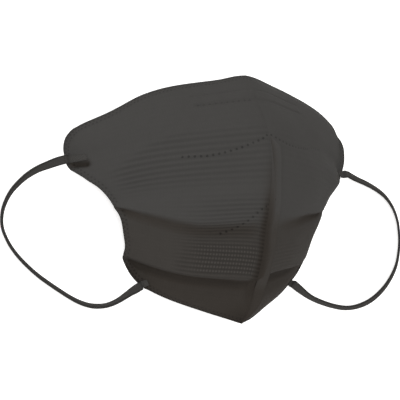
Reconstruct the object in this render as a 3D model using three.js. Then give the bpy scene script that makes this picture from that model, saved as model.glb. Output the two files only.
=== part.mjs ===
// A three-dimensional earloop face mask, lying open side down as it rests on a table.
// Units are millimetres. +Z points up, away from the face; +Y points to the nose; +X crosses the
// face. The origin is on the table under the middle of the mask. "Left" is the -X side.
import * as THREE from 'three';

// ---- Driving dimensions ----
const WALL = 1.6; // pressed non-woven layers, measured through
const SETTLE = 1; // the edge bends level within this height of the table
const CLEARANCE = 0.3; // gap left between pieces that touch
const BAND = { width: 4.8, thickness: 1.2 }; // flat elastic of the ear loops
// Welded allowance of the seam: it reaches full height over "rise" sections, leans by "lean"
// degrees to the right and narrows to "chinHeight" over the last section.
const FIN = { thickness: 1.2, height: 4.6, chinHeight: 1.6, rise: 1.5, lean: 46 };
const TAB = { width: 4.8, thickness: 0.9, gap: 0.95 }; // loop end welded on the outer face

const ROWS_PER_SECTION = 3;
const LOOP_STEPS = 78;

// ---- Sections of one half of the mask, from the nose edge to the chin edge ----
// ridge: where the section crosses the middle; rim: where it ends at the mask's edge;
// round: radius over the middle; bow: bend towards the nose; swell: crown at half width;
// flare: extra height close to the rim. A rim below the table is flattened on it.
const COLUMNS = ['ridgeY', 'ridgeZ', 'rimX', 'rimY', 'rimZ', 'round', 'bow', 'swell', 'flare'];
const SECTIONS = {
  noseEdge: [69.5, 34.0, 95.0, 38.0, 0.5, 12, 6.0, -3.0, 5.0],
  noseWire: [61.0, 39.5, 98.0, 34.5, -2.6, 14, 5.5, -1.0, 5.0],
  noseBridge: [52.5, 44.5, 99.3, 30.0, -3.4, 14, 5.0, 1.5, 4.0],
  noseRoot: [44.0, 49.3, 99.0, 25.5, -3.4, 12, 4.0, 4.0, 2.0],
  seamTop: [35.0, 53.0, 96.8, 20.5, -2.6, 7, 3.0, 6.0, 0.0],
  cheekHigh: [25.0, 54.8, 90.5, 14.2, 5.0, 3, 2.0, 6.0, 0.0],
  cheekUpper: [15.8, 55.0, 84.0, 9.0, 8.4, 3, 1.0, 6.0, 0.0],
  cheekMiddle: [6.0, 54.4, 79.0, 4.2, 9.3, 3, 0.0, 6.0, 0.0],
  cheekLower: [-3.5, 53.4, 75.5, -0.8, 9.3, 3, -1.0, 6.0, 0.0],
  upperFold: [-16.0, 50.8, 71.5, -6.0, 8.8, 3, -3.0, 5.0, 0.0],
  mouthUpper: [-26.5, 48.0, 67.6, -15.5, 7.4, 3, -2.5, 5.0, 0.0],
  mouthLower: [-37.0, 44.2, 65.2, -25.0, 4.4, 3, -2.5, 5.0, 0.0],
  lowerFold: [-47.5, 39.4, 63.2, -33.0, 0.0, 3, -4.0, 4.0, 0.0],
  chinUpper: [-58.8, 32.2, 58.0, -41.6, -2.5, 2, -3.0, 3.0, 0.0],
  chinEdge: [-69.8, 20.6, 50.5, -48.4, 0.6, 1, -1.6, 0.0, 0.0],
};
// Shares of the half width at which the body has its columns, closer together near the rim.
const SHARES = [0, 0.06, 0.14, 0.24, 0.35, 0.46, 0.57, 0.68, 0.78, 0.86, 0.92, 0.96, 0.98, 1];
const SECTION_NAMES = Object.keys(SECTIONS);
const LAST_SECTION = SECTION_NAMES.length - 1;
const sectionIndex = (name) => SECTION_NAMES.indexOf(name);

// Two soft folds cross the mask. Each is a groove under the lip of the panel above it:
// the wall drops over "lip" sections and comes back over "fade" sections.
const FOLDS = [
  { at: sectionIndex('upperFold'), lip: 0.34, fade: 1.0, middleDepth: 1.0, rimDepth: 2.6 },
  { at: sectionIndex('lowerFold'), lip: 0.34, fade: 0.9, middleDepth: 2.0, rimDepth: 3.4 },
];
const FOLD_TUCK = 0.35; // how far a groove also slides up under its lip, for each mm of depth

// Where the ends of the loops are welded: section number t and share s of the half width.
const TABS = {
  upper_left: { outer: { t: 3.6, s: -1.018 }, inner: { t: 4.05, s: -0.9 } },
  upper_right: { outer: { t: 4.0, s: 1.03 }, inner: { t: 4.4, s: 0.91 } },
  lower_left: { outer: { t: 13.8, s: -1.014 }, inner: { t: 12.95, s: -0.86 } },
  lower_right: { outer: { t: 13.8, s: 1.014 }, inner: { t: 12.95, s: 0.86 } },
};

// Centre lines of the two loops, laid on the table: [x, y, z].
const LOOP_ROUTES = {
  left: [
    [-100.4, 22.0, 3.2], [-104.4, 20.9, 3.0], [-110.2, 18.9, 2.7], [-116.9, 16.3, 2.6],
    [-123.4, 12.6, 2.5], [-128.8, 8.3, 2.5], [-133.3, 3.6, 2.5], [-136.7, -2.0, 2.5],
    [-138.7, -8.0, 2.5], [-138.8, -14.5, 2.5], [-136.5, -20.8, 2.5], [-132.9, -26.6, 2.5],
    [-126.9, -33.2, 2.5], [-117.8, -40.8, 2.5], [-105.2, -48.9, 2.5], [-95.8, -54.1, 2.5],
    [-88.1, -56.8, 2.5], [-81.6, -57.5, 2.5], [-75.3, -56.9, 2.5], [-68.6, -54.6, 2.5],
    [-61.4, -50.7, 2.7], [-54.2, -46.9, 3.2],
  ],
  right: [
    [100.2, 19.4, 3.2], [104.4, 17.7, 3.0], [109.4, 16.0, 2.7], [116.1, 13.8, 2.6],
    [123.4, 10.7, 2.5], [129.2, 7.3, 2.5], [133.7, 3.2, 2.5], [137.4, -2.1, 2.5],
    [139.9, -8.6, 2.5], [140.8, -15.5, 2.5], [140.8, -22.0, 2.5], [139.7, -28.6, 2.5],
    [137.6, -35.6, 2.5], [134.0, -42.0, 2.5], [127.8, -49.2, 2.5], [120.3, -55.1, 2.5],
    [112.6, -59.2, 2.5], [104.6, -61.6, 2.5], [97.0, -62.6, 2.5], [90.2, -62.3, 2.5],
    [80.6, -60.4, 2.5], [70.8, -57.3, 2.5], [63.6, -54.0, 2.7], [53.8, -47.7, 3.2],
  ],
};

// ---- Finishes ----
const FABRIC_COLOUR = 0x454442;
const SEAM_COLOUR = 0x4b4a48;
const ELASTIC_COLOUR = 0x4d4c4a;

const fabricMaterial = new THREE.MeshStandardMaterial({
  color: FABRIC_COLOUR, roughness: 0.92, metalness: 0,
});
const seamMaterial = new THREE.MeshStandardMaterial({
  color: SEAM_COLOUR, roughness: 0.8, metalness: 0,
});
const elasticMaterial = new THREE.MeshStandardMaterial({
  color: ELASTIC_COLOUR, roughness: 0.85, metalness: 0,
});

// ---- The outer face, as a function of the section number t and the share s of half width ----

// Catmull-Rom value of one table column at section number t.
function columnAt(column, t) {
  const k = COLUMNS.indexOf(column);
  const from = Math.min(Math.floor(t), LAST_SECTION - 1);
  const u = t - from;
  const value = (i) => SECTIONS[SECTION_NAMES[i]][k];
  const b = value(from);
  const c = value(from + 1);
  const a = from > 0 ? value(from - 1) : 2 * b - c;
  const d = from + 2 <= LAST_SECTION ? value(from + 2) : 2 * c - b;
  const cubic = -a + 3 * b - 3 * c + d;
  const square = 2 * a - 5 * b + 4 * c - d;
  return 0.5 * (2 * b + (c - a) * u + square * u * u + cubic * u ** 3);
}

// Depth of the folds at a point of the outer face.
function foldDepth(t, s) {
  let depth = 0;
  for (const fold of FOLDS) {
    const down = THREE.MathUtils.smoothstep(t, fold.at, fold.at + fold.lip);
    const bottom = fold.at + fold.lip;
    const back = 1 - THREE.MathUtils.smoothstep(t, bottom, bottom + fold.fade);
    const full = THREE.MathUtils.lerp(fold.middleDepth, fold.rimDepth, Math.abs(s));
    depth += full * Math.min(down, back);
  }
  return depth;
}

// Height of the outer face where the free face would be at z: it levels out on the table.
function restingHeight(z) {
  if (z > SETTLE) return WALL + z;
  if (z < -SETTLE) return WALL;
  return WALL + (z + SETTLE) ** 2 / (4 * SETTLE);
}

// A point of the outer face; s runs from -1 at the left rim over 0 at the middle to 1.
function outerPoint(t, s) {
  const at = (column) => columnAt(column, t);
  const share = Math.abs(s);
  const x = at('rimX') * share;
  const round = at('round');
  const overRidge = (across) => Math.hypot(across, round) - round;
  const fall = overRidge(x) / overRidge(at('rimX'));
  const crown = 4 * share * (1 - share);
  const outward = 6.75 * share * share * (1 - share); // peaks at 1, two thirds of the way out
  const depth = foldDepth(t, s);
  const y = THREE.MathUtils.lerp(at('ridgeY'), at('rimY'), fall) + at('bow') * outward;
  const z = THREE.MathUtils.lerp(at('ridgeZ'), at('rimZ'), fall)
    + at('swell') * crown + at('flare') * outward;
  return new THREE.Vector3(Math.sign(s) * x, y + FOLD_TUCK * depth, restingHeight(z - depth));
}

// Unit normal of the outer face, from points a small step away.
function outerNormal(t, s) {
  const stepT = 0.12;
  const stepS = 0.02;
  const t0 = Math.max(t - stepT, 0);
  const t1 = Math.min(t + stepT, LAST_SECTION);
  const s0 = Math.max(s - stepS, -1);
  const s1 = Math.min(s + stepS, 1);
  const down = outerPoint(t1, s).sub(outerPoint(t0, s));
  const across = outerPoint(t, s1).sub(outerPoint(t, s0));
  return down.cross(across).normalize();
}

// ---- Solids ----

// A closed solid through rings of equal length. A ring lists its outer points and then its
// inner points backwards, so that the two ends close as a ladder between the two rows.
function loftSolid(rings) {
  const size = rings[0].length;
  const positions = rings.flat().flatMap((p) => [p.x, p.y, p.z]);
  const index = [];
  const quad = (a, b, c, d) => index.push(a, b, c, a, c, d);
  for (let i = 0; i + 1 < rings.length; i += 1) {
    for (let k = 0; k < size; k += 1) {
      const next = (k + 1) % size;
      quad(i * size + k, (i + 1) * size + k, (i + 1) * size + next, i * size + next);
    }
  }
  const last = (rings.length - 1) * size;
  for (let k = 0; k + 1 < size / 2; k += 1) {
    const facing = size - 1 - k;
    quad(k, k + 1, facing - 1, facing);
    quad(last + facing, last + facing - 1, last + k + 1, last + k);
  }
  const geometry = new THREE.BufferGeometry();
  geometry.setAttribute('position', new THREE.Float32BufferAttribute(positions, 3));
  geometry.setIndex(index);
  geometry.computeVertexNormals();
  return geometry;
}

function namedMesh(name, geometry, material) {
  const mesh = new THREE.Mesh(geometry, material);
  mesh.name = name;
  return mesh;
}

// The mask's body: one folded sheet, hollow behind, whose lowest edge is flattened on the table.
function maskBody() {
  const leftShares = SHARES.slice(1).reverse().map((share) => -share);
  const acrossMask = [...leftShares, ...SHARES];
  const rings = [];
  for (let row = 0; row <= LAST_SECTION * ROWS_PER_SECTION; row += 1) {
    const t = row / ROWS_PER_SECTION;
    const outer = [];
    const inner = [];
    for (const s of acrossMask) {
      const point = outerPoint(t, s);
      const normal = outerNormal(t, s);
      if (s === 0) normal.setX(0).normalize();
      outer.push(point);
      if (point.z === WALL) normal.set(0, 0, 1);
      const under = point.clone().addScaledVector(normal, -WALL);
      inner.push(under.setZ(Math.max(under.z, 0)));
    }
    rings.push([...outer, ...inner.reverse()]);
  }
  return namedMesh('mask_body', loftSolid(rings), fabricMaterial);
}

// The welded seam allowance that stands along the middle, from the nose down to the chin.
function centreSeam() {
  const lean = THREE.MathUtils.degToRad(FIN.lean);
  const start = sectionIndex('seamTop');
  const rings = [];
  for (let row = start * ROWS_PER_SECTION; row <= LAST_SECTION * ROWS_PER_SECTION; row += 1) {
    const t = row / ROWS_PER_SECTION;
    const up = outerNormal(t, 0).setX(0).normalize();
    const root = outerPoint(t, 0).addScaledVector(up, CLEARANCE);
    const stand = up.clone().multiplyScalar(Math.cos(lean)).setX(Math.sin(lean));
    const risen = FIN.height * Math.min(1, 0.25 + (t - start) / FIN.rise);
    const towardsChin = THREE.MathUtils.smoothstep(t, LAST_SECTION - 1, LAST_SECTION);
    const height = THREE.MathUtils.lerp(risen, FIN.chinHeight, towardsChin);
    const side = new THREE.Vector3(FIN.thickness / 2 / Math.cos(lean), 0, 0);
    const crest = root.clone().addScaledVector(stand, height);
    rings.push([
      root.clone().sub(side), crest.clone().sub(side),
      crest.clone().add(side), root.clone().add(side),
    ]);
  }
  return namedMesh('centre_seam', loftSolid(rings), seamMaterial);
}

// One flattened end of a loop, welded on the outer face: a small plate that follows the face.
function loopTab(place) {
  const { outer, inner } = TABS[place];
  const inward = outerPoint(inner.t, inner.s).sub(outerPoint(outer.t, outer.s));
  const steps = 4;
  const rings = [];
  for (let step = 0; step <= steps; step += 1) {
    const share = step / steps;
    const t = THREE.MathUtils.lerp(outer.t, inner.t, share);
    const s = THREE.MathUtils.lerp(outer.s, inner.s, share);
    const normal = outerNormal(t, THREE.MathUtils.clamp(s, -1, 1));
    const across = normal.clone().cross(inward).normalize().multiplyScalar(TAB.width / 2);
    const low = outerPoint(t, s).addScaledVector(normal, TAB.gap);
    const high = low.clone().addScaledVector(normal, TAB.thickness);
    rings.push([
      high.clone().sub(across), high.clone().add(across),
      low.clone().add(across), low.clone().sub(across),
    ]);
  }
  return namedMesh(`ear_loop_tab_${place}`, loftSolid(rings), elasticMaterial);
}

// A loop: flat elastic with chamfered edges, standing on its edge along its route.
function earLoop(side) {
  const points = LOOP_ROUTES[side].map((p) => new THREE.Vector3(...p));
  const path = new THREE.CatmullRomCurve3(points, false, 'centripetal');
  const halfWidth = BAND.width / 2;
  const halfThickness = BAND.thickness / 2;
  const chamfer = BAND.thickness / 4;
  const section = new THREE.Shape([
    new THREE.Vector2(halfWidth, halfThickness - chamfer),
    new THREE.Vector2(halfWidth - chamfer, halfThickness),
    new THREE.Vector2(chamfer - halfWidth, halfThickness),
    new THREE.Vector2(-halfWidth, halfThickness - chamfer),
    new THREE.Vector2(-halfWidth, chamfer - halfThickness),
    new THREE.Vector2(chamfer - halfWidth, -halfThickness),
    new THREE.Vector2(halfWidth - chamfer, -halfThickness),
    new THREE.Vector2(halfWidth, chamfer - halfThickness),
  ]);
  const geometry = new THREE.ExtrudeGeometry(section, { steps: LOOP_STEPS, extrudePath: path });
  return namedMesh(`ear_loop_${side}`, geometry, elasticMaterial);
}

// ---- The mask ----
const mask = new THREE.Group();
mask.add(maskBody(), centreSeam());
for (const place of Object.keys(TABS)) mask.add(loopTab(place));
for (const side of Object.keys(LOOP_ROUTES)) mask.add(earLoop(side));

export default mask;
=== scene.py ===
# An earloop face mask of pressed non-woven fabric, lying open side down on a table.
# Metres, +Z up, +Y to the nose edge, +X across the face; "left" is the -X side.
import math

import bmesh
import bpy
import numpy as np
from mathutils import Matrix, Vector
from mathutils.kdtree import KDTree


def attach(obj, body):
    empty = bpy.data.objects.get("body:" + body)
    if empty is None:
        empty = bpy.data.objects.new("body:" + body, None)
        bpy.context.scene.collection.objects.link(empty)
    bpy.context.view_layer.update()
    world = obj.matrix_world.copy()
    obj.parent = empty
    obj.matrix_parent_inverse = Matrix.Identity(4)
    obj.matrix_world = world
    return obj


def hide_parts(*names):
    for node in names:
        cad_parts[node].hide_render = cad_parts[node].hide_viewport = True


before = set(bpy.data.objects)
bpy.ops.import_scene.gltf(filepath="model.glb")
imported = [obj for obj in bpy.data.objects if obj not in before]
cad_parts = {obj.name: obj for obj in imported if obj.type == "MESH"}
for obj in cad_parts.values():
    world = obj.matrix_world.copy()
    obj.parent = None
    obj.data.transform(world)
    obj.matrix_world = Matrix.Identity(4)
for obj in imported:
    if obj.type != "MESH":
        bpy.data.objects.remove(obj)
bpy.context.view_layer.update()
collection = bpy.context.scene.collection

# ---- Camera ----
# A telephoto view from above and the left, rolled so that the nose edge is at the top.
CAMERA_DISTANCE = 0.8512
camera_data = bpy.data.cameras.new("camera")
camera_data.lens = 135
camera_data.sensor_width = 36
camera = bpy.data.objects.new("camera", camera_data)
collection.objects.link(camera)
view_back = Vector((-0.57358, -0.08562, 0.81466))
view_right = Vector((0.81897, -0.03882, 0.57253))
view_up = view_back.cross(view_right)
view_centre = Vector((-0.0166, 0.0009, 0.0097))
camera_place = Matrix.Translation(view_centre + CAMERA_DISTANCE * view_back)
camera.matrix_world = camera_place @ Matrix((view_right, view_up, view_back)).transposed().to_4x4()
bpy.context.scene.camera = camera


# ---- Mask panels ----
# Two mirrored halves of pressed non-woven fabric, several layers fused together at their edges.
# Each half runs from the seam over the cheek to the ear, and two soft pressed folds cross it.
FABRIC_THICKNESS = 0.0012
SIGN = {"left": -1, "right": 1}
# The cross sections of a half from the nose edge to the chin edge, in millimetres: where its ridge
# lies at the seam and its rim outside, how round the ridge is, and how far the face between them
# bows towards the nose edge, swells up in its middle and flares up nearer to the rim.
PROFILE = ["ridge_y", "ridge_z", "rim_x", "rim_y", "rim_z", "round", "bow", "swell", "flare"]
SECTIONS = {
    "nose_edge": (69.5, 34.0, 95.0, 38.0, 0.5, 12, 6.0, -3.0, 5.0),
    "nose_wire": (61.0, 39.5, 98.0, 34.5, -2.6, 14, 5.5, -1.0, 5.0),
    "nose_bridge": (52.5, 44.5, 99.3, 30.0, -3.4, 14, 5.0, 1.5, 4.0),
    "nose_root": (44.0, 49.3, 99.0, 25.5, -3.4, 12, 4.0, 4.0, 2.0),
    "seam_top": (35.0, 53.0, 96.8, 20.5, -2.6, 7, 3.0, 6.0, 0.0),
    "cheek_high": (25.0, 54.8, 90.5, 14.2, 5.0, 3, 2.0, 6.0, 0.0),
    "cheek_upper": (15.8, 55.0, 84.0, 9.0, 8.4, 3, 1.0, 6.0, 0.0),
    "cheek_middle": (6.0, 54.4, 79.0, 4.2, 9.3, 3, 0.0, 6.0, 0.0),
    "cheek_lower": (-3.5, 53.4, 75.5, -0.8, 9.3, 3, -1.0, 6.0, 0.0),
    "upper_fold": (-16.0, 50.8, 71.5, -6.0, 8.8, 3, -3.0, 5.0, 0.0),
    "mouth_upper": (-26.5, 48.0, 67.6, -15.5, 7.4, 3, -2.5, 5.0, 0.0),
    "mouth_lower": (-37.0, 44.2, 65.2, -25.0, 4.4, 3, -2.5, 5.0, 0.0),
    "lower_fold": (-47.5, 39.4, 63.2, -33.0, 0.0, 3, -4.0, 4.0, 0.0),
    "chin_upper": (-58.8, 32.2, 58.0, -41.6, -2.5, 2, -3.0, 3.0, 0.0),
    "chin_edge": (-69.8, 20.6, 50.5, -48.4, 0.6, 1, -1.6, 0.0, 0.0),
}
SECTION_NAMES = list(SECTIONS)
LAST = len(SECTIONS) - 1
# Places on a half are given by two numbers from here on: a section number, 0 for the first of these
# sections and 14 for the last, and a share of the half width, 0 at the seam and 1 at the rim.
# Each fold drops under the lip of the panel above it within "lip" sections, given at the seam and
# at the rim, and comes back over "fade" sections. "start" is how far its line lies beside its
# section, and "depth" its millimetres, both at FOLD_SHARES.
FOLD_SHARES = [0, 0.05, 0.15, 0.5, 0.85, 0.94, 1]
FOLDS = {
    "upper_fold": {
        "left": {
            "start": (-0.40, -0.38, -0.28, -0.27, -0.56, -0.74, -0.82), "lip": (0.8, 0.42),
            "depth": (0.5, 1.6, 2.4, 2.7, 2.6, 3.0, 0.9), "fade": (1.3, 1.6),
        },
        "right": {
            "start": (-0.40, -0.40, -0.40, -0.30, -0.30, -0.35, -0.35), "lip": (0.8, 0.2),
            "depth": (0.5, 0.7, 1.3, 2.3, 2.7, 1.9, 0.4), "fade": (1.3, 0.35),
        },
    },
    "lower_fold": {
        "left": {
            "start": (-0.22, -0.18, -0.10, -0.18, -0.26, -0.28, -0.25), "lip": (0.36, 0.3),
            "depth": (1.2, 3.4, 3.8, 4.2, 4.0, 3.4, 0.8), "fade": (1.15, 1.4),
        },
        "right": {
            "start": (-0.22, -0.27, -0.30, -0.30, -0.30, -0.35, -0.35), "lip": (0.36, 0.2),
            "depth": (1.2, 2.0, 3.0, 3.5, 2.2, 1.7, 0.8), "fade": (1.15, 0.5),
        },
    },
}
FOLD_TUCK = 0.45  # how far a fold slips towards the nose edge for each millimetre of its depth
SETTLE = 1.0  # height in millimetres below which an edge bends level with the table
# Where the soft sheet is pulled out of the mirror shape: section number, share of the half
# width, how far the pull reaches in each, and the pull in millimetres along X, Y and Z. The seam
# holds against it within SEAM_HOLD, a share of the half width.
SEAM_HOLD = 0.15
PULLS = {
    "left": [
        (0.0, 0.80, 2.0, 0.17, (0.0, -2.2, 0.0)),
        (0.0, 1.00, 0.7, 0.12, (0.0, 0.0, -2.0)),
        (0.0, 0.96, 0.8, 0.10, (-0.3, 0.8, 0.0)),
        (0.0, 0.65, 1.2, 0.08, (0.0, 0.4, 0.0)),
        (0.0, 0.15, 1.2, 0.14, (0.0, -0.9, 0.0)),
        (0.0, 0.52, 2.0, 0.22, (0.0, 0.8, 0.0)),
        (5.2, 1.00, 0.8, 0.20, (0.0, -1.3, 0.0)),
        (4.3, 1.00, 0.6, 0.12, (0.9, -0.3, 0.0)),
        (6.8, 1.00, 2.4, 0.25, (0.2, -1.2, 0.0)),
        (7.6, 1.00, 1.7, 0.20, (0.0, -1.5, 0.0)),
        (8.8, 1.00, 0.5, 0.15, (0.7, -0.6, 0.0)),
        (12.2, 1.00, 0.8, 0.15, (0.9, -0.5, 0.0)),
        (10.2, 1.00, 0.6, 0.15, (0.8, 0.0, 0.0)),
        (9.0, 0.55, 1.0, 0.30, (0.0, -2.5, 0.0)),
        (9.0, 1.00, 1.0, 0.20, (0.0, 1.5, 0.0)),
        (12.0, 1.00, 0.8, 0.25, (0.0, 2.0, 0.0)),
    ],
    "right": [
        (0.8, 0.72, 1.6, 0.22, (1.5, 1.0, 0.0)),
        (0.2, 1.00, 1.3, 0.24, (1.8, 1.3, 0.0)),
        (0.0, 1.00, 0.8, 0.12, (-0.3, 1.2, -2.0)),
        (0.0, 0.91, 1.2, 0.07, (0.5, 0.9, 0.0)),
        (0.0, 1.00, 0.25, 0.05, (0.35, 0.0, 0.0)),
        (0.0, 0.35, 1.0, 0.10, (0.0, 0.4, 0.0)),
        (4.6, 1.00, 0.5, 0.12, (1.1, 0.3, 0.0)),
        (9.4, 1.00, 0.9, 0.25, (1.5, -0.5, 0.0)),
        (11.8, 1.00, 0.8, 0.25, (1.2, -0.3, 0.0)),
        (14.0, 0.18, 0.6, 0.25, (0.4, -0.6, 0.0)),
        (9.0, 0.60, 1.2, 0.35, (0.0, 3.0, 0.0)),
        (12.0, 0.45, 1.0, 0.40, (0.0, 2.6, 0.0)),
    ],
}
# The groove along the seam: section numbers and depths in millimetres, and how many millimetres
# to each side it reaches.
GROOVE = {"sections": [5, 7.2, 9, 12.6, 13.4, 14], "depths": [0, 0.9, 2.8, 3.0, 2.2, 0.3]}
GROOVE_REACH = {"left": 4.8, "right": 2.6}
AT_SEAM = 1e-6  # a share that is as good as 0 and still keeps the side it is on

profile_table = np.array(list(SECTIONS.values()), float)
before_first = 2 * profile_table[0] - profile_table[1]
after_last = 2 * profile_table[-1] - profile_table[-2]
profile_table = np.vstack([before_first, profile_table, after_last])


def smooth_step(value, start, end):
    """0 up to start, 1 from end on, and smooth between them."""
    u = np.clip((value - start) / (end - start), 0, 1)
    return u * u * (3 - 2 * u)


def bell(value, width):
    """1 where the value is 0, falling off evenly on both sides."""
    return np.exp(-((value / width) ** 2))


def smooth_between(a, b, c, d, u):
    """From b at u = 0 to c at u = 1, on the smooth curve through all four."""
    bend = (2 * a - 5 * b + 4 * c - d) * u * u + (3 * b - a - 3 * c + d) * u**3
    return 0.5 * (2 * b + (c - a) * u + bend)


def profile_at(t):
    """The sections' numbers at section numbers t, smoothly between the listed ones."""
    k = np.clip(np.floor(t).astype(int), 0, LAST - 1)
    values = smooth_between(*(profile_table[k + step] for step in range(4)), (t - k)[..., None])
    return {name: values[..., n] for n, name in enumerate(PROFILE)}


def fold_depths(t, s):
    """Depth of both folds together at section numbers t and shares s, in millimetres."""
    share = np.abs(s)
    depths = 0
    for name, sides in FOLDS.items():
        for side, fold in sides.items():
            start = SECTION_NAMES.index(name) + np.interp(share, FOLD_SHARES, fold["start"])
            bottom = start + np.interp(share, [0, 1], fold["lip"])
            end = bottom + np.interp(share, [0, 1], fold["fade"])
            drop = np.minimum(smooth_step(t, start, bottom), 1 - smooth_step(t, bottom, end))
            here = (s < 0) == (side == "left")
            depths = depths + here * drop * np.interp(share, FOLD_SHARES, fold["depth"])
    return depths


def face_points(t, s):
    """Points of the smooth outer face, in metres; s is 0 at the seam and -1 or 1 at a rim."""
    t, s = np.broadcast_arrays(np.asarray(t, float), np.asarray(s, float))
    at = profile_at(t)
    share = np.abs(s)
    x = at["rim_x"] * share
    fallen = np.hypot(x, at["round"]) - at["round"]
    fall = fallen / (np.hypot(at["rim_x"], at["round"]) - at["round"])
    outward = 27 / 4 * share * share * (1 - share)  # 1 at two thirds of the way, 0 at both ends
    depth = fold_depths(t, s)
    y = at["ridge_y"] + (at["rim_y"] - at["ridge_y"]) * fall + at["bow"] * outward
    z = at["ridge_z"] + (at["rim_z"] - at["ridge_z"]) * fall - depth
    z += at["swell"] * 4 * share * (1 - share) + at["flare"] * outward
    reach = np.where(s < 0, GROOVE_REACH["left"], GROOVE_REACH["right"])
    z -= np.interp(t, GROOVE["sections"], GROOVE["depths"]) * bell(x, reach)
    y += FOLD_TUCK * depth
    for side, pulls in PULLS.items():
        here = (s < 0) == (side == "left")
        for at_t, at_s, reach_t, reach_s, pull in pulls:
            strength = here * bell(t - at_t, reach_t) * bell(share - at_s, reach_s)
            strength = strength * np.minimum(1, share / SEAM_HOLD)
            x = x + pull[0] * strength
            y = y + pull[1] * strength
            z = z + pull[2] * strength
    z = np.where(z < SETTLE, np.maximum(0, z + SETTLE) ** 2 / (4 * SETTLE), z)
    z = z + FABRIC_THICKNESS * 1000
    return np.stack([np.copysign(x, s), y, z], -1) * 0.001


def face_normals(t, s, t_step=0.05, s_step=0.01):
    """Which way the smooth outer face looks, from points a small step to all four sides."""
    t, s = np.broadcast_arrays(np.asarray(t, float), np.asarray(s, float))
    down = face_points(np.minimum(t + t_step, LAST), s) - face_points(np.maximum(t - t_step, 0), s)
    sign = np.where(s < 0, -1, 1)
    far = face_points(t, sign * np.minimum(np.abs(s) + s_step, 1))
    near = face_points(t, sign * np.maximum(np.abs(s) - s_step, AT_SEAM))
    normal = np.cross(down, (far - near) * sign[..., None])
    return normal / np.linalg.norm(normal, axis=-1, keepdims=True)


class Signal:
    """One output of a material's nodes. Arithmetic on it adds Math nodes."""

    def __init__(self, tree, socket=None):
        self.tree = tree
        self.socket = socket

    def node(self, kind, inputs=None, output=0, **settings):
        """A new node of this kind in the same material, and one of its outputs."""
        made = self.tree.nodes.new("ShaderNode" + kind)
        for name, value in settings.items():
            setattr(made, name, value)
        for name, value in (inputs or {}).items():
            if isinstance(value, Signal):
                self.tree.links.new(value.socket, made.inputs[name])
            else:
                made.inputs[name].default_value = value
        return Signal(self.tree, made.outputs[output])

    def parts(self):
        """The three numbers of a vector."""
        return [self.node("SeparateXYZ", {0: self}, output=k) for k in range(3)]

    def noise(self, scale, detail, roughness):
        """Mottling from 0 to 1 at this place; its scale is in spots to a metre."""
        inputs = {"Vector": self, "Scale": scale, "Detail": detail, "Roughness": roughness}
        return self.node("TexNoise", inputs)

    def maths(self, operation, *others):
        """What a Math node makes of this and the other values."""
        inputs = dict(enumerate((self, *others)))
        return self.node("Math", inputs, operation=operation)

    def ramp(self, low, high):
        """0 where this is at low, 1 where it is at high, and smooth between them."""
        inputs = {"Value": self, "From Min": low, "From Max": high}
        return self.node("MapRange", inputs, interpolation_type="SMOOTHSTEP")

    def __add__(self, other):
        return self.maths("ADD", other)

    def __sub__(self, other):
        return self.maths("SUBTRACT", other)

    def __mul__(self, other):
        return self.maths("MULTIPLY", other)

    def __rsub__(self, other):
        return (self * -1) + other

    __radd__ = __add__
    __rmul__ = __mul__


CHARCOAL = (0.0437, 0.0427, 0.0415)
# Millimetres between the pressed ribs: broad on the cheek, fine around the mouth.
RIB_PITCH = {"sections": [6.8, 7.8, 8.9, 10, 10.6], "pitch": [3.5, 2.9, 2.1, 2.1, 2.4]}
GRID_PITCH = 1.7  # millimetres between the columns of bonding points
DOT_PITCH = 3.4  # between the dots of a welded line
DOT_RADIUS = 0.62
STITCH_PITCH = 2.3  # between the pressed marks of the fused edge
STITCH_RADIUS = 0.42
STITCH_ROWS = [(1.25, 0.0), (2.75, 0.5)]  # distance from the border, and shift along it in pitches
EDGE_BAND = 3.9  # width of the fused edge
# What the fabric's material reads at each point of a piece, three numbers to a layer: across the
# half, ribs passed and points of the grid; along and away from a welded line and how clear it is;
# along and away from the border and how much painted shade the cloth gets there.
FABRIC_LAYERS = ("cloth", "weld", "edge")


def waves(phase):
    """1 at each whole number of the phase, 0 half way between."""
    return (phase * (2 * math.pi)).maths("COSINE") * 0.5 + 0.5


def dots(along, across, pitch, shift, radius):
    """Round spots in a row along a line."""
    on_row = ((along * (1 / pitch) + shift).maths("FRACT") - 0.5) * pitch
    distance = (on_row * on_row + across * across).maths("SQRT")
    return distance.ramp(radius * 1.35, radius * 0.7)


def finish_material(paint, looks, specular, sheen, sheen_roughness):
    """Joins the looks to the material's shader: its colour, roughness and height in millimetres."""
    tree = paint.node_tree
    shader = tree.nodes["Principled BSDF"]
    height = looks["height"]
    bump = height.node("Bump", {"Height": height, "Distance": 0.001, "Strength": 0.9})
    tree.links.new(bump.socket, shader.inputs["Normal"])
    tree.links.new(looks["colour"].socket, shader.inputs["Base Color"])
    tree.links.new(looks["roughness"].socket, shader.inputs["Roughness"])
    shader.inputs["Specular IOR Level"].default_value = specular
    shader.inputs["Sheen Weight"].default_value = sheen
    shader.inputs["Sheen Roughness"].default_value = sheen_roughness


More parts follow.
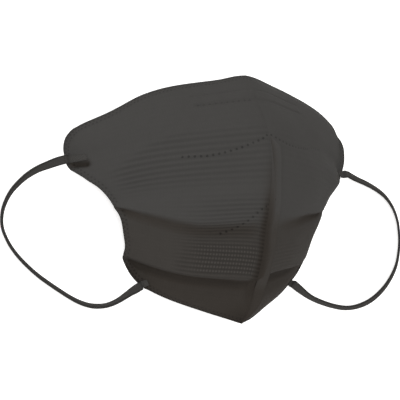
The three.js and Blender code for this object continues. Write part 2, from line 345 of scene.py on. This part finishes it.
def fabric_material(name, shine):
    """Pressed fabric; shine is how much smoother it is where it is fused."""
    paint = bpy.data.materials.new(name)
    paint.use_nodes = True
    blank = Signal(paint.node_tree)
    place = blank.node("TexCoord", output="Object")
    cloth, weld, edge = (
        blank.node("Attribute", output="Vector", attribute_name=layer).parts() for layer in FABRIC_LAYERS
    )
    ribbed = blank.node("Attribute", output="Fac", attribute_name="ribbed")
    across, ribs, grid = cloth
    weld_along, weld_across, weld_on = weld
    edge_along, edge_across, painted_shade = edge

    fibres = place.noise(1500.0, 3.0, 0.65)
    clumps = place.noise(260.0, 2.0, 0.5)
    cloudy = place.noise(38.0, 2.0, 0.5)

    fused = edge_across.ramp(EDGE_BAND + 0.35, EDGE_BAND - 0.35)
    outer, inner = (
        dots(edge_along, edge_across - row, STITCH_PITCH, shift, STITCH_RADIUS)
        for row, shift in STITCH_ROWS
    )
    marks = outer.maths("MAXIMUM", inner)
    spots = dots(weld_along, weld_across, DOT_PITCH, 0.0, DOT_RADIUS) * weld_on
    pressed = spots.maths("MAXIMUM", marks)
    points = waves(across * (1 / GRID_PITCH) + 0.5) * waves(ribs) * grid
    hollows = (1 - waves(ribs)) * ribbed * (0.7 + cloudy * 0.6) * (1 - grid * 0.4)

    height = fibres * 0.05 + clumps * 0.035 - pressed * 0.22 + points * 0.22 - hollows * 0.1
    shade = 0.94 + fibres * 0.1 + clumps * 0.07 + cloudy * 0.06 - spots * 0.36 - marks * 0.22
    # Painted shade darkens the folds, the groove, the puckers, the lower panels and the chin.
    shade = shade + points * 0.5 - grid * 0.16 - hollows * 0.2 - painted_shade * 0.46 - fused * 0.04
    # Painted shade darkens a thin line along the border.
    shade = shade - edge_across.ramp(1.3, 0.2) * 0.22
    plain = blank.node("VectorMath", {0: CHARCOAL, "Scale": shade}, operation="SCALE")
    # Where the painted shade is deep, it is also a little warmer than the open cloth.
    warm_shade = blank.node("VectorMath", {0: plain, 1: (1.07, 0.94, 0.83)}, operation="MULTIPLY")
    colour = blank.node("Mix", {"Factor": painted_shade, 6: plain, 7: warm_shade}, output=2, data_type="RGBA")
    rough = 0.93 - fibres * 0.08 - pressed * shine - fused * (shine * 0.5)
    looks = {"colour": colour, "height": height, "roughness": rough}
    finish_material(paint, looks, specular=0.03, sheen=0.005, sheen_roughness=0.6)
    return paint


charcoal = fabric_material("charcoal_fabric", 0.25)

# Welded lines of dots: how clear the dots are, and the line's section numbers and shares of the
# half width. The first closes the pocket of the nose wire, the next the dart at the top of the
# seam, and the last ends beside the mouth on the left.
WELD_LINES = {
    "left": [
        (0.45, [(1.84, 0.03), (1.84, 0.2), (1.84, 0.36)]),
        (1, [
            (4.14, 0), (4.42, 0.055), (4.54, 0.1), (4.8, 0.195), (5, 0.297), (5.1, 0.38), (5, 0.53),
        ]),
        (0.9, [(8.2, 0.01), (8.42, 0.085), (8.8, 0.162), (9.18, 0.225), (9.46, 0.292), (9.68, 0.39)]),
    ],
    "right": [
        (0.85, [(4.14, 0), (4.36, 0.068), (4.5, 0.16), (4.54, 0.258), (4.4, 0.373), (4.04, 0.573)]),
    ],
}
WELD_REACH = 4  # millimetres beside a welded line that can hold its dots
# The pocket of the nose wire: from section to section, and the share where it ends.
WIRE_POCKET = {"top": 1.08, "bottom": 1.8, "left": 0.37, "right": 0.42}
# Puckers beside the welded loop ends: the two ends of each, as section numbers and shares, its
# half width and its depth in millimetres.
PUCKERS = {
    "left": [((4.1, 0.975), (4.3, 0.925), 1.7, 2.8), ((12.35, 0.98), (12.5, 0.86), 1.6, 0.9)],
    "right": [((4.75, 0.99), (5.0, 0.93), 1.8, 0.6), ((12.4, 0.98), (12.5, 0.88), 1.6, 0.6)],
}
FULL_PUCKER = 2.4  # the depth that shades a pucker fully
# How clearly each half shows the broad and the fine ribs and the grid of bonding points, how deep
# a fold is that shades it fully, and how many millimetres from the seam its shading reaches.
CLARITY = {
    "left": {
        "broad": 0.68, "fine": 0.8, "grid": 1, "full_fold": 3.2,
        "groove_reach": [4.0, 6.0, 9.0, 12.0], "chin_reach": 12,
    },
    "right": {
        "broad": 0.12, "fine": 0.04, "grid": 0.3, "full_fold": 2.3,
        "groove_reach": [3.5, 7.0, 5.0, 3.5], "chin_reach": 5,
    },
}
FULL_GROOVE = 2.7  # the depth that shades the groove fully
ROW_SPACING = 0.5  # millimetres along the ridge
COLUMNS = 124  # cells from the seam to the rim
FAR_AWAY = 50.0  # millimetres, for points that a line doesn't reach
SEARCH_REACH = 0.009  # metres around a line in which its nearest points are looked for


def measured(points):
    """Distance travelled along a row of points."""
    steps = np.linalg.norm(np.diff(points, axis=0), axis=-1)
    return np.concatenate([[0], np.cumsum(steps)])


def beside(points, line, line_along):
    """For each point, how far along a line its nearest place is, and its distance in mm."""
    tree = KDTree(len(line))
    for number, place in enumerate(line):
        tree.insert(place, number)
    tree.balance()
    along = np.zeros(points.shape[:-1])
    away = np.full(points.shape[:-1], FAR_AWAY)
    low, high = line.min(axis=0) - SEARCH_REACH, line.max(axis=0) + SEARCH_REACH
    near = np.all((points > low) & (points < high), axis=-1)
    for place in zip(*np.nonzero(near)):
        _, number, distance = tree.find(points[place])
        along[place] = line_along[number]
        away[place] = distance * 1000
    return along, away


def welded(side, points):
    """Along and away from the nearest welded line in millimetres, and how clear its dots are."""
    along = np.zeros(points.shape[:-1])
    away = np.full_like(along, FAR_AWAY)
    clear = np.zeros_like(along)
    for clearness, line in WELD_LINES[side]:
        line_at = np.linspace(0, len(line) - 1, 240)
        line_t, line_s = (np.interp(line_at, range(len(line)), numbers) for numbers in zip(*line))
        track = face_points(line_t, SIGN[side] * np.maximum(line_s, AT_SEAM))
        track_along, track_away = beside(points, track, measured(track) * 1000)
        nearer = track_away < away
        along = np.where(nearer, track_along, along)
        away = np.where(nearer, track_away, away)
        clear = np.where(nearer & (track_away < WELD_REACH), clearness, clear)
    return along, away, clear


def puckers(side, points):
    """How deep the puckers are in millimetres, and how strongly they shade the cloth."""
    deep = np.zeros(points.shape[:-1])
    shading = np.zeros_like(deep)
    for start, end, half_width, depth in PUCKERS[side]:
        steps = np.linspace(0, 1, 60)
        track_t, track_s = (a + (b - a) * steps for a, b in zip(start, end))
        _, away = beside(points, face_points(track_t, SIGN[side] * track_s), steps)
        pucker = bell(away, half_width)
        deep += depth * pucker
        shading = np.maximum(shading, pucker * min(1, depth / FULL_PUCKER))
    return deep, shading


def rib_strength(side, t, share):
    """How clearly the pressed ribs show, less towards the rims."""
    outer_end = np.interp(t, [3.2, 4.2, 5.2, 6.8], [0.46, 0.72, 0.93, 0.96])
    broad = smooth_step(t, 3.3, 4.0) * (1 - smooth_step(t, 6.2, 7.4))
    broad = broad * (1 - smooth_step(share, outer_end - 0.12, outer_end)) * (0.6 + 0.7 * share)
    inner_end = np.interp(t, [8, 9.5, 11], [0.3, 0.4, 0.6])
    fine = smooth_step(t, 7.2, 8.4) * (1 - smooth_step(t, 11.8, 12.0))
    fine = fine * (1 - smooth_step(share, inner_end, 0.72))
    return broad * CLARITY[side]["broad"] + fine * CLARITY[side]["fine"]


def relief(side, t, share, across, along):
    """Height in millimetres that pressing and handling give the face, above the smooth one."""
    # The nose wire lifts its pocket, whose pressed border lies lower.
    middle = (WIRE_POCKET["top"] + WIRE_POCKET["bottom"]) / 2
    half = (WIRE_POCKET["bottom"] - WIRE_POCKET["top"]) / 2
    from_middle = np.abs(t - middle) / half
    end = WIRE_POCKET[side]
    raised = 0.3 * (1 - smooth_step(from_middle, 0.5, 1)) - 0.3 * bell(from_middle - 1, 0.2)
    height = raised * (1 - smooth_step(share, end - 0.02, end))
    height -= 0.15 * bell(share - end, 0.012) * (from_middle < 1)
    # Handling leaves low waves all over, and one dent that deepens outwards across each cheek.
    wave = np.sin(across / 9 + 1.3 * np.sin(along / 17))
    height += 0.28 * wave * np.sin(along / 12 + 0.6 * np.sin(across / 13))
    dent = 0.8 * bell(t - 7.5, 0.55) * smooth_step(share, 0.2, 0.7)
    if side == "right":
        dent = dent * (1 - smooth_step(share, 0.75, 0.95))
    return height - dent


def painted_shade_of(side, t, share, across, pucker_shade):
    """Painted shade: how much darker folds, grooves and puckers are, and the panels under the folds with
    them.
    """
    clarity = CLARITY[side]
    fold_shade = np.minimum(1.2, fold_depths(t, SIGN[side] * share) / clarity["full_fold"]) ** 1.2
    groove_reach = np.interp(t, [8, 11.5, 12.5, 14], clarity["groove_reach"])
    groove = np.interp(t, GROOVE["sections"], GROOVE["depths"]) / FULL_GROOVE
    groove = groove * bell(across, groove_reach)
    # The lower panels and the chin face down, away from the light, and get painted shade as well.
    lower_panel_shade = 0.46 * smooth_step(t, 8.7, 9.7) + 0.38 * smooth_step(t, 12.0, 12.6)
    painted_shade = np.maximum.reduce([fold_shade, groove, pucker_shade, lower_panel_shade])
    return painted_shade + 0.35 * smooth_step(t, 12.9, 13.9) * bell(across, clarity["chin_reach"])


def fabric_grid(columns, rows):
    """A flat grid, and the layers in it that the fabric's material reads."""
    shape = bmesh.new()
    bmesh.ops.create_grid(shape, x_segments=columns, y_segments=rows, size=0.5)
    return shape, [shape.verts.layers.float_vector.new(name) for name in FABRIC_LAYERS]


def smooth_piece(name, shape, paint):
    """The object that a finished bmesh makes, with smooth faces."""
    mesh = bpy.data.meshes.new(name)
    shape.to_mesh(mesh)
    shape.free()
    for face in mesh.polygons:
        face.use_smooth = True
    mesh.materials.append(paint)
    piece = bpy.data.objects.new(name, mesh)
    collection.objects.link(piece)
    return piece


def mask_panel(side):
    """One half: its rows run from the seam to the rim, its columns from nose edge to chin edge."""
    sign = SIGN[side]
    section = np.linspace(0, LAST, 1401)
    at = profile_at(section)
    ridge = measured(np.stack([at["ridge_y"], at["ridge_z"]], -1))
    row_marks = np.linspace(0, ridge[-1], round(ridge[-1] / ROW_SPACING) + 1)
    # The cells are finest at the seam and at the rim.
    step = np.linspace(0, 1, COLUMNS + 1)
    columns = np.maximum(step - 0.5 * np.sin(2 * math.pi * step) / (2 * math.pi), AT_SEAM)
    t, share = np.meshgrid(np.interp(row_marks, ridge, section), columns, indexing="ij")
    points = face_points(t, sign * share)
    steps = np.linalg.norm(np.diff(points, axis=1), axis=-1)
    across = np.concatenate([np.zeros((len(row_marks), 1)), np.cumsum(steps, axis=1)], axis=1) * 1000
    pitch = np.interp(section[1:], RIB_PITCH["sections"], RIB_PITCH["pitch"])
    rib_phase = np.interp(t, section, np.concatenate([[0], np.cumsum(np.diff(ridge) / pitch)]))
    ribbed = rib_strength(side, t, share)

    border_t = np.concatenate([np.zeros(200), np.linspace(0, LAST, 500), np.full(160, LAST)])
    nose_edge, chin_edge = np.linspace(AT_SEAM, 1, 200), np.linspace(1, AT_SEAM, 160)
    border = face_points(border_t, sign * np.concatenate([nose_edge, np.ones(500), chin_edge]))
    edge_along, edge_across = beside(points, border, measured(border) * 1000)
    weld_along, weld_across, weld_clear = welded(side, points)
    pucker_depth, pucker_shade = puckers(side, points)
    # Painted shade for the folds, the groove, the puckers, the lower panels and the chin.
    painted_shade = painted_shade_of(side, t, share, across, pucker_shade)
    grid = smooth_step(t, 10.0, 10.4) * (1 - smooth_step(t, 11.6, 11.8))
    grid = 0.06 + 0.94 * grid * smooth_step(share, 0.05, 0.1) * (1 - smooth_step(share, 0.46, 0.6))
    grid = grid * CLARITY[side]["grid"]

    height = relief(side, t, share, across, row_marks[:, None]) - pucker_depth
    height += 0.15 * ribbed * np.cos(2 * math.pi * rib_phase)
    height -= 0.12 * (1 - smooth_step(edge_across, EDGE_BAND - 0.8, EDGE_BAND + 0.8))
    height -= 0.22 * bell(weld_across, 1.1)
    # Both halves meet along the seam, and the wing tip lies flat, so the relief fades to both.
    wing_tip = bell(t, 1.2) * bell(1 - share, 0.08)
    height = height * smooth_step(share, 0, 0.015) * (1 - wing_tip) ** 2
    points = points + face_normals(t, sign * share) * height[..., None] * 0.001
    # The face stays higher than its wall is thick, so the inner side clears the table.
    points[..., 2] = np.maximum(points[..., 2], FABRIC_THICKNESS * 0.8)

    rows = len(row_marks) - 1
    shape, (cloth_layer, weld_layer, edge_layer) = fabric_grid(COLUMNS, rows)
    rib_layer = shape.verts.layers.float.new("ribbed")
    for vert in shape.verts:
        place = (round((0.5 - vert.co.y) * rows), round((vert.co.x + 0.5) * COLUMNS))
        vert.co = points[place]
        vert[cloth_layer] = (across[place], rib_phase[place], grid[place])
        vert[weld_layer] = (weld_along[place], weld_across[place], weld_clear[place])
        vert[edge_layer] = (edge_along[place], edge_across[place], painted_shade[place])
        vert[rib_layer] = ribbed[place]
    if side == "left":
        bmesh.ops.reverse_faces(shape, faces=shape.faces)
    panel = smooth_piece(f"panel_{side}", shape, charcoal)
    wall = panel.modifiers.new("wall", "SOLIDIFY")
    wall.thickness = FABRIC_THICKNESS * 0.75
    wall.offset = -1
    made = panel.evaluated_get(bpy.context.evaluated_depsgraph_get())
    panel.data = bpy.data.meshes.new_from_object(made)
    panel.modifiers.clear()
    panel.data.set_sharp_from_angle(angle=math.radians(50))
    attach(panel, "root")
    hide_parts("mask_body")


for side in SIGN:
    mask_panel(side)


# ---- Centre seam ----
# The raw edges of both halves stand out along the seam as one flat strip, fused by a welded line
# at its foot. It leans to the right and runs from the dart at the top down to the chin.
SEAM_TOP = 4.14  # section number where the strip starts, at the foot of the dart
SEAM_HEIGHT = 0.0046
SEAM_LEAN = math.radians(48)
SEAM_COLUMNS = 8
SEAM_FOOT = 0.0004  # metres that the strip's foot reaches into the fabric
SEAM_WAVE = 0.0003  # metres that its free edge waves up and down
SEAM_RIB_PITCH = 2.4
# The welded dots that show on the strip: millimetres above its foot, and from section to section.
SEAM_DOTS = {"height": 1.6, "from": 7.8, "to": 8.5}
# How many millimetres to the right of the ridge the strip's foot stands.
SEAM_SHIFT = {
    "sections": [4.1, 5.5, 8.5, 11, 12.4, 13, 13.6, 14], "shift": [0.3, 1, 1.7, 1, 1.1, 1.6, 1.3, 0],
}


def seam_edge():
    """The strip, from the dart down to the chin."""
    t = np.linspace(SEAM_TOP, LAST, 300)
    around = [np.clip(t + beyond, 4.1, LAST) for beyond in (-0.3, -0.1, 0.1, 0.3)]
    root = np.mean([face_points(near_t, AT_SEAM) for near_t in around], axis=0)
    root[-1] = face_points(LAST, AT_SEAM)
    root[:, 0] += np.interp(t, SEAM_SHIFT["sections"], SEAM_SHIFT["shift"]) * 0.001
    along = measured(root) * 1000
    ahead = np.gradient(root, axis=0)
    up = np.stack([np.zeros_like(t), -ahead[:, 2], ahead[:, 1]], -1)
    up = up / np.linalg.norm(up, axis=-1, keepdims=True)
    up = up * np.sign(up[:, 2:])
    rise = smooth_step(t, 4.0, 5.0) * (1 - 0.85 * smooth_step(t, LAST - 1.4, LAST))
    # It stands taller where the groove beside it is deep.
    tall = SEAM_HEIGHT * rise + 0.0003 * np.interp(t, GROOVE["sections"], GROOVE["depths"])
    # Painted shade darkens the strip with the panels beside it as it goes down.
    strip_shade = 0.56 * smooth_step(t, 8.0, 9.4) + 0.27 * smooth_step(t, 11.9, 12.5)
    strip_shade += 0.25 * smooth_step(t, 13.1, 13.9)
    shape, (cloth_layer, weld_layer, edge_layer) = fabric_grid(SEAM_COLUMNS, len(t) - 1)
    for vert in shape.verts:
        row = round((0.5 - vert.co.y) * (len(t) - 1))
        share = vert.co.x + 0.5  # 0 at the strip's foot and 1 at its free edge
        wave = SEAM_WAVE * math.sin(along[row] / 7 + 1.1 * math.sin(along[row] / 19)) * share
        lean = SEAM_LEAN + 0.35 * (share - 0.4)
        out = up[row] * math.cos(lean) + np.array((math.sin(lean), 0, 0))
        vert.co = root[row] + up[row] * (wave - SEAM_FOOT) + out * (tall[row] * share)
        high = tall[row] * share * 1000
        dotted = SEAM_DOTS["from"] < t[row] < SEAM_DOTS["to"]
        vert[cloth_layer] = (high, along[row] / SEAM_RIB_PITCH, 0.05)
        vert[weld_layer] = (along[row], abs(high - SEAM_DOTS["height"]), dotted)
        # Its last number is painted shade, which also deepens towards the strip's foot.
        vert[edge_layer] = (along[row], FAR_AWAY, max(float(strip_shade[row]), 0.5 * (1 - share) ** 2))
    seam = smooth_piece("seam_edge", shape, fabric_material("fused_seam", 0.3))
    wall = seam.modifiers.new("wall", "SOLIDIFY")
    wall.thickness = 0.0008
    wall.offset = 0
    rounded = seam.modifiers.new("rounded", "BEVEL")
    rounded.width = 0.0002
    rounded.segments = 2
    rounded.limit_method = "ANGLE"
    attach(seam, "root")
    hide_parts("centre_seam")


seam_edge()


# ---- Ear loops ----
# Flat knitted elastic, 4.8 mm wide. Each end is welded flat on the mask; between the welds the
# band turns onto its edge and lies loose on the table in one wide bend.
BAND_WIDTH = 0.0048
BAND_THICKNESS = 0.0011
LOOP_ROUTES = {
    "left": [
        (-0.1004, 0.0220, 0.0032), (-0.1044, 0.0209, 0.0030), (-0.1102, 0.0189, 0.0027),
        (-0.1169, 0.0163, 0.0026), (-0.1234, 0.0126, 0.0025), (-0.1288, 0.0083, 0.0025),
        (-0.1333, 0.0036, 0.0025), (-0.1367, -0.0020, 0.0025), (-0.1387, -0.0080, 0.0025),
        (-0.1388, -0.0145, 0.0025), (-0.1365, -0.0208, 0.0025), (-0.1329, -0.0266, 0.0025),
        (-0.1269, -0.0332, 0.0025), (-0.1178, -0.0408, 0.0025), (-0.1052, -0.0489, 0.0025),
        (-0.0958, -0.0541, 0.0025), (-0.0881, -0.0568, 0.0025), (-0.0816, -0.0575, 0.0025),
        (-0.0753, -0.0569, 0.0025), (-0.0686, -0.0546, 0.0025), (-0.0614, -0.0507, 0.0027),
        (-0.0542, -0.0469, 0.0032),
    ],
    "right": [
        (0.1002, 0.0194, 0.0032), (0.1044, 0.0177, 0.0030), (0.1094, 0.0160, 0.0027),
        (0.1161, 0.0138, 0.0026), (0.1234, 0.0107, 0.0025), (0.1292, 0.0073, 0.0025),
        (0.1337, 0.0032, 0.0025), (0.1374, -0.0021, 0.0025), (0.1399, -0.0086, 0.0025),
        (0.1408, -0.0155, 0.0025), (0.1408, -0.0220, 0.0025), (0.1397, -0.0286, 0.0025),
        (0.1376, -0.0356, 0.0025), (0.1340, -0.0420, 0.0025), (0.1278, -0.0492, 0.0025),
        (0.1203, -0.0551, 0.0025), (0.1126, -0.0592, 0.0025), (0.1046, -0.0616, 0.0025),
        (0.0970, -0.0626, 0.0025), (0.0902, -0.0623, 0.0025), (0.0806, -0.0604, 0.0025),
        (0.0708, -0.0573, 0.0025), (0.0636, -0.0540, 0.0027), (0.0538, -0.0477, 0.0032),
    ],
}
# How far each band is turned from flat, in degrees, at these millimetres from its upper weld.
LOOP_TURNS = {
    "left": {
        "along": [2, 12, 23, 34, 60, 113, 123, 131, 140, 149, 157, 162],
        "turn": [0, 31, 44, 51, 56, 57, 57, 62, 73, 73, 45, 0],
    },
    "right": {
        "along": [2, 9, 20, 30, 41, 76, 87, 98, 108, 119, 131, 141, 163, 170, 175],
        "turn": [26, 36, 40, 40, 42, 42, 40, 40, 40, 49, 66, 74, 76, 56, 26],
    },
}
ROUTE_SPACING = 0.0009
TURN_SMOOTHING = 4  # points to each side over which the turn is averaged
# Where each end is welded on the face: which end of which band it continues, section number and
# share of its inner end, and the part of its length that the weld covers.
LOOP_ENDS = {
    "upper_left": {"from": ("left", 0), "inner": (3.93, -0.905), "weld": 0.72},
    "upper_right": {"from": ("right", 0), "inner": (4.4, 0.955), "weld": 0.7},
    "lower_left": {"from": ("left", -1), "inner": (12.95, -0.86), "weld": 0.8},
    "lower_right": {"from": ("right", -1), "inner": (12.95, 0.86), "weld": 0.8},
}
END_STEPS = 24
LANDING = 0.35  # part of an end's length over which it comes down onto the face
END_NARROWING = 0.3  # how much narrower the weld leaves the tip
# Millimetres between the knitted cords, between the knit's loops and between the weld's points.
CORD_PITCH = 0.8
KNIT_PITCH = 1.15
KNURL_PITCH = 1.3
ELASTIC_COLOUR = (0.040, 0.0388, 0.0370)


def elastic_material():
    """Elastic knitted around lengthwise cords, with the press's points where it is welded."""
    paint = bpy.data.materials.new("knitted_elastic")
    paint.use_nodes = True
    blank = Signal(paint.node_tree)
    place = blank.node("TexCoord", output="Object")
    band = blank.node("Attribute", output="Vector", attribute_name="band")
    along, across, weld = band.parts()
    fibres = place.noise(1800.0, 2.0, 0.6)
    cloudy = place.noise(90.0, 1.0, 0.5)
    from_middle = across.maths("ABSOLUTE")
    cords = waves(across * (1 / CORD_PITCH))
    knit = waves((along + from_middle * 0.55) * (1 / KNIT_PITCH))
    knurl = waves((along + across) * (1 / KNURL_PITCH)) * waves((along - across) * (1 / KNURL_PITCH))
    knurl = knurl * weld
    free = 1 - weld * 0.75
    border = from_middle.ramp(1.3, 2.3)

    height = (cords * 0.10 + knit * 0.05 + cords * knit * 0.05) * free
    height = height + fibres * 0.04 - knurl * 0.28
    shade = 0.84 + cords * 0.16 * free + knit * 0.08 + fibres * 0.12 + cloudy * 0.06
    # Painted shade darkens the band towards its borders.
    shade = shade - knurl * 0.2 + weld * 0.26 - border * free * 0.42
    colour = blank.node("VectorMath", {0: ELASTIC_COLOUR, "Scale": shade}, operation="SCALE")
    rough = 0.88 - knurl * 0.3 - cords * 0.08
    looks = {"colour": colour, "height": height, "roughness": rough}
    finish_material(paint, looks, specular=0.08, sheen=0.01, sheen_roughness=0.5)
    return paint


elastic = elastic_material()


def band_outline():
    """The band's cross section: metres across, and shares of its thickness up or down."""
    border, border_thick = BAND_WIDTH / 2, 0.22
    flat = border - BAND_THICKNESS * 0.3
    # Seven cords stand a little proud of each face.
    upper = [(flat * k / 9, 0.5 + 0.07 * math.cos(math.pi * k * 2 / 3)) for k in range(-9, 10)]
    right = [(border, border_thick), (border, -border_thick)]
    half = upper + right
    return half + [(-wide, -thick) for wide, thick in half]


def order_of(numbers):
    """Puts edges or faces in order by their points' numbers, for fewer than 100,000 points."""
    return min(numbers) * 1e5 + max(numbers)


def elastic_band(name, centres, width_ways, thick_ways, marks, thickness, weld):
    """Flat elastic swept along its centre points, with lengthwise cords and rounded borders."""
    shape = bmesh.new()
    band_layer = shape.verts.layers.float_vector.new("band")
    outline = band_outline()
    ring = bmesh.ops.create_circle(shape, segments=len(outline), radius=0.001)["verts"]
    edges = list(shape.edges)
    for k, mark in enumerate(marks):
        if k:
            grown = bmesh.ops.extrude_edge_only(shape, edges=edges)["geom"]
            ring_now = [v for v in grown if isinstance(v, bmesh.types.BMVert)]
            edges = [e for e in grown if isinstance(e, bmesh.types.BMEdge)]
            # The new ring still lies on the old one, so each point finds its own copy.
            ring = [min(ring_now, key=lambda v, o=old: (v.co - o.co).length) for old in ring]
        narrow = 1 - END_NARROWING * weld[k] * mark / marks[-1]
        for vert, (wide, thick) in zip(ring, outline):
            beyond = thick_ways[k] * (thick * thickness[k])
            vert.co = centres[k] + width_ways[k] * (wide * narrow) + beyond
            vert[band_layer] = (mark * 1000, wide * 1000, weld[k])
        if k in (0, len(marks) - 1):
            bmesh.ops.contextual_create(shape, geom=edges)
    bmesh.ops.recalc_face_normals(shape, faces=shape.faces)
    # Extruding leaves edges and faces in an order that changes from run to run.
    shape.verts.index_update()
    for kind in (shape.edges, shape.faces):
        kind.sort(key=lambda part: order_of([vert.index for vert in part.verts]))
    band = smooth_piece(name, shape, elastic)
    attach(band, "root")
    return band


def even_route(points, spacing):
    """Points a fixed distance apart on the smooth curve through the given points."""
    padded = [2 * points[0] - points[1], *points, 2 * points[-1] - points[-2]]
    fine = []
    for a, b, c, d in zip(padded, padded[1:], padded[2:], padded[3:]):
        for step in range(40):
            fine.append(smooth_between(a, b, c, d, step / 40))
    fine.append(points[-1])
    along = np.cumsum([0.0] + [(q - p).length for p, q in zip(fine, fine[1:])])
    marks = np.linspace(0, along[-1], round(along[-1] / spacing) + 1)
    columns = [np.interp(marks, along, [p[k] for p in fine]) for k in range(3)]
    return [Vector(p) for p in zip(*columns)], marks


def ear_loop(side):
    """The free part of a loop, between its welds."""
    route, marks = even_route([Vector(p) for p in LOOP_ROUTES[side]], ROUTE_SPACING)
    turns = np.interp(marks * 1000, LOOP_TURNS[side]["along"], LOOP_TURNS[side]["turn"])
    window = 2 * TURN_SMOOTHING + 1
    turns = np.pad(turns, TURN_SMOOTHING, mode="edge")
    turns = np.convolve(turns, np.full(window, 1 / window), mode="valid")
    width_ways = []
    thick_ways = []
    for k in range(len(marks)):
        ahead = (route[min(k + 1, len(route) - 1)] - route[max(k - 1, 0)]).normalized()
        level = Vector((-ahead.y, ahead.x, 0)).normalized()
        turn = -math.radians(turns[k])
        width_ways.append(level * math.cos(turn) + ahead.cross(level) * math.sin(turn))
        thick_ways.append(ahead.cross(width_ways[-1]))
    loop = elastic_band(
        f"ear_loop_band_{side}", route, width_ways, thick_ways, marks,
        [BAND_THICKNESS] * len(marks), [0] * len(marks),
    )
    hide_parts(f"ear_loop_{side}")
    return route, width_ways, thick_ways


loops = {side: ear_loop(side) for side in LOOP_ROUTES}


def loop_end(place):
    """The last stretch of a loop: it comes down onto the face and is pressed into it."""
    end = LOOP_ENDS[place]
    side, which = end["from"]
    route, width_ways, thick_ways = loops[side]
    start = route[which]
    width_start = width_ways[which]
    thick_start = thick_ways[which] * (1 if thick_ways[which].z > 0 else -1)
    inner_t, inner_s = end["inner"]
    target = Vector(face_points(inner_t, inner_s))
    inward = (target - start).normalized()
    # The patch of the face that the end can touch.
    patch_t, patch_s = np.meshgrid(
        np.linspace(max(inner_t - 1.6, 0), min(inner_t + 1.6, LAST), 161),
        np.sign(inner_s) * np.linspace(abs(inner_s) - 0.15, 1, 121), indexing="ij",
    )
    face = face_points(patch_t, patch_s)
    facing = face_normals(patch_t, patch_s)
    shares = np.linspace(0, 1, END_STEPS + 1)
    weld_start = 1 - end["weld"]
    pressed = smooth_step(shares, weld_start - 0.1, weld_start + 0.1)
    sinking = smooth_step(shares, weld_start - 0.1, 1)
    centres = []
    widths = []
    thicks = []
    for share, sunk, landed in zip(shares, sinking, smooth_step(shares, 0, LANDING)):
        level = start.lerp(target, share)
        gap = np.hypot(face[..., 0] - level.x, face[..., 1] - level.y)
        nearest = np.unravel_index(np.argmin(gap), gap.shape)
        normal = Vector(facing[nearest])
        # It rests just above the face and is pressed into it; beyond the rim it runs straight on.
        rest = Vector((level.x, level.y, face[nearest][2])) + normal * (0.0004 - 0.0003 * sunk)
        centres.append(level.lerp(rest, landed) if gap[nearest] < 0.001 else level)
        thicks.append(thick_start.lerp(normal, landed).normalized())
        way = thicks[-1].cross(inward).normalized()
        way = way if way.dot(width_start) > 0 else -way
        widths.append(width_start.lerp(way, landed).normalized())
    marks = shares * (target - start).length
    thickness = BAND_THICKNESS * (1 - 0.4 * pressed - 0.3 * shares)
    band = elastic_band(f"loop_end_{place}", centres, widths, thicks, marks, thickness, pressed)
    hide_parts(f"ear_loop_tab_{place}")


for place in LOOP_ENDS:
    loop_end(place)


# ---- Table and light ----
# A wide white table top under soft, even light from above and the left. The table shines by
# itself as well, which keeps it white out to its far edges.
bpy.ops.mesh.primitive_plane_add(size=6)
table = bpy.context.object
table.name = "table"
table_paint = bpy.data.materials.new("white_table")
table_paint.use_nodes = True
table_inputs = table_paint.node_tree.nodes["Principled BSDF"].inputs
table_inputs["Base Color"].default_value = (0.9, 0.9, 0.9, 1)
table_inputs["Roughness"].default_value = 0.9
table_inputs["Specular IOR Level"].default_value = 0.1
table_inputs["Emission Color"].default_value = (1, 1, 1, 1)
table_inputs["Emission Strength"].default_value = 0.6
table.data.materials.append(table_paint)

sky = bpy.data.worlds.new("sky")
sky.use_nodes = True
sky_inputs = sky.node_tree.nodes["Background"].inputs
sky_inputs["Color"].default_value = (1.0, 0.96, 0.92, 1)
sky_inputs["Strength"].default_value = 0.78
bpy.context.scene.world = sky

key_data = bpy.data.lights.new("key", "AREA")
key_data.shape = "DISK"
key_data.size = 1.5
key_data.energy = 14
key_data.color = (0.97, 0.99, 1.0)
key = bpy.data.objects.new("key", key_data)
collection.objects.link(key)
key.location = (-0.6, 0.1, 1.35)
key.rotation_euler = key.location.to_track_quat("Z", "Y").to_euler()
bpy.context.scene.view_settings.view_transform = "Standard"
